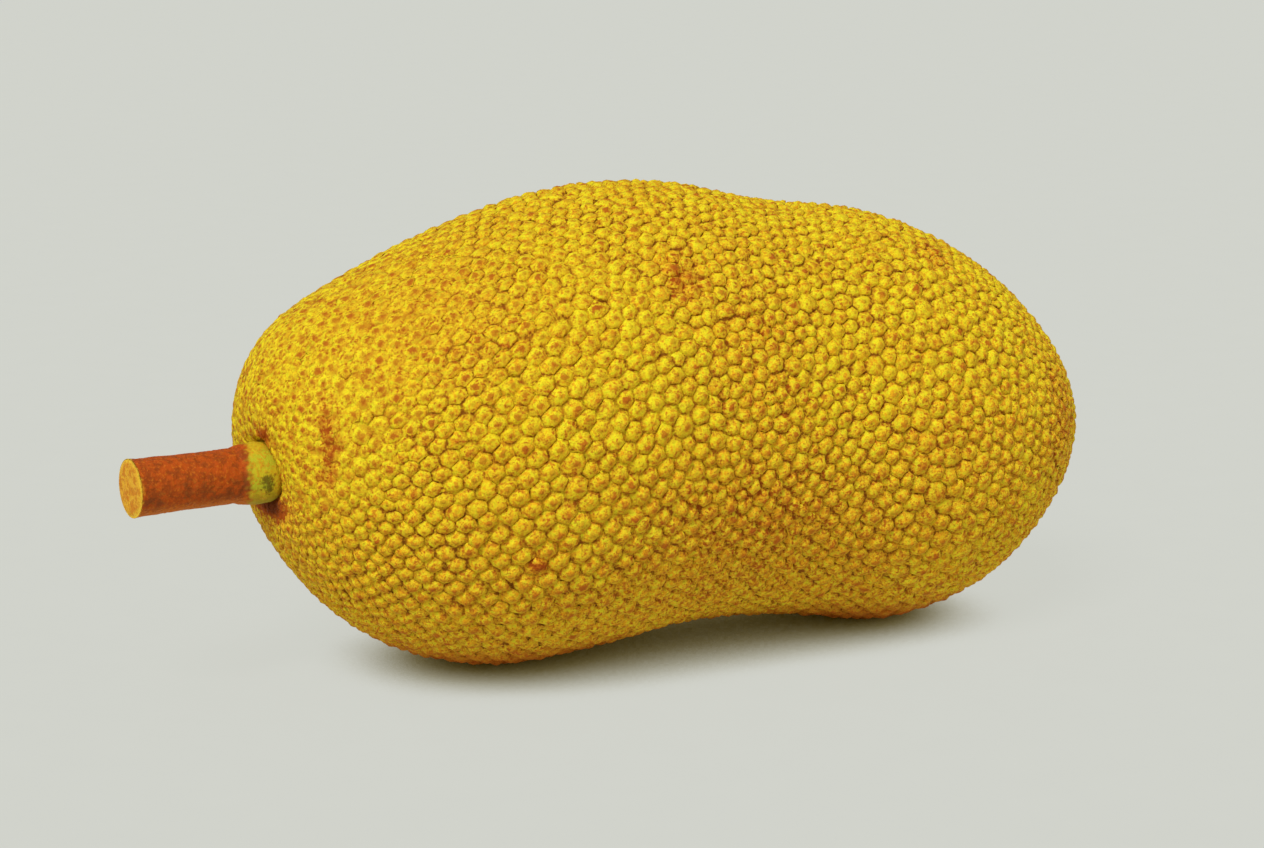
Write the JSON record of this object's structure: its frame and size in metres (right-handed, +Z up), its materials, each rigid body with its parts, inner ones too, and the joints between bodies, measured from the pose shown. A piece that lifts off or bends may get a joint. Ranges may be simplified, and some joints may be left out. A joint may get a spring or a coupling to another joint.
{
  "type": "jackfruit",
  "caption": "Whole ripe jackfruit with a warty rind, lying on its side, with a short cut stub of its stalk.",
  "frame": {"origin": "on the surface that the fruit rests on, under the middle of the whole object's bounding box", "axes": "+X along the fruit, from its stalk end to its blossom end; +Z up, with the fruit lying on its side"},
  "size_m": [0.4523, 0.2155, 0.2093],
  "materials": {
    "rind": "satin",
    "bark": "matte"
  },
  "bodies": {
    "root": {"fruit": "rind", "stalk": "bark"}
  },
  "joints": []
}
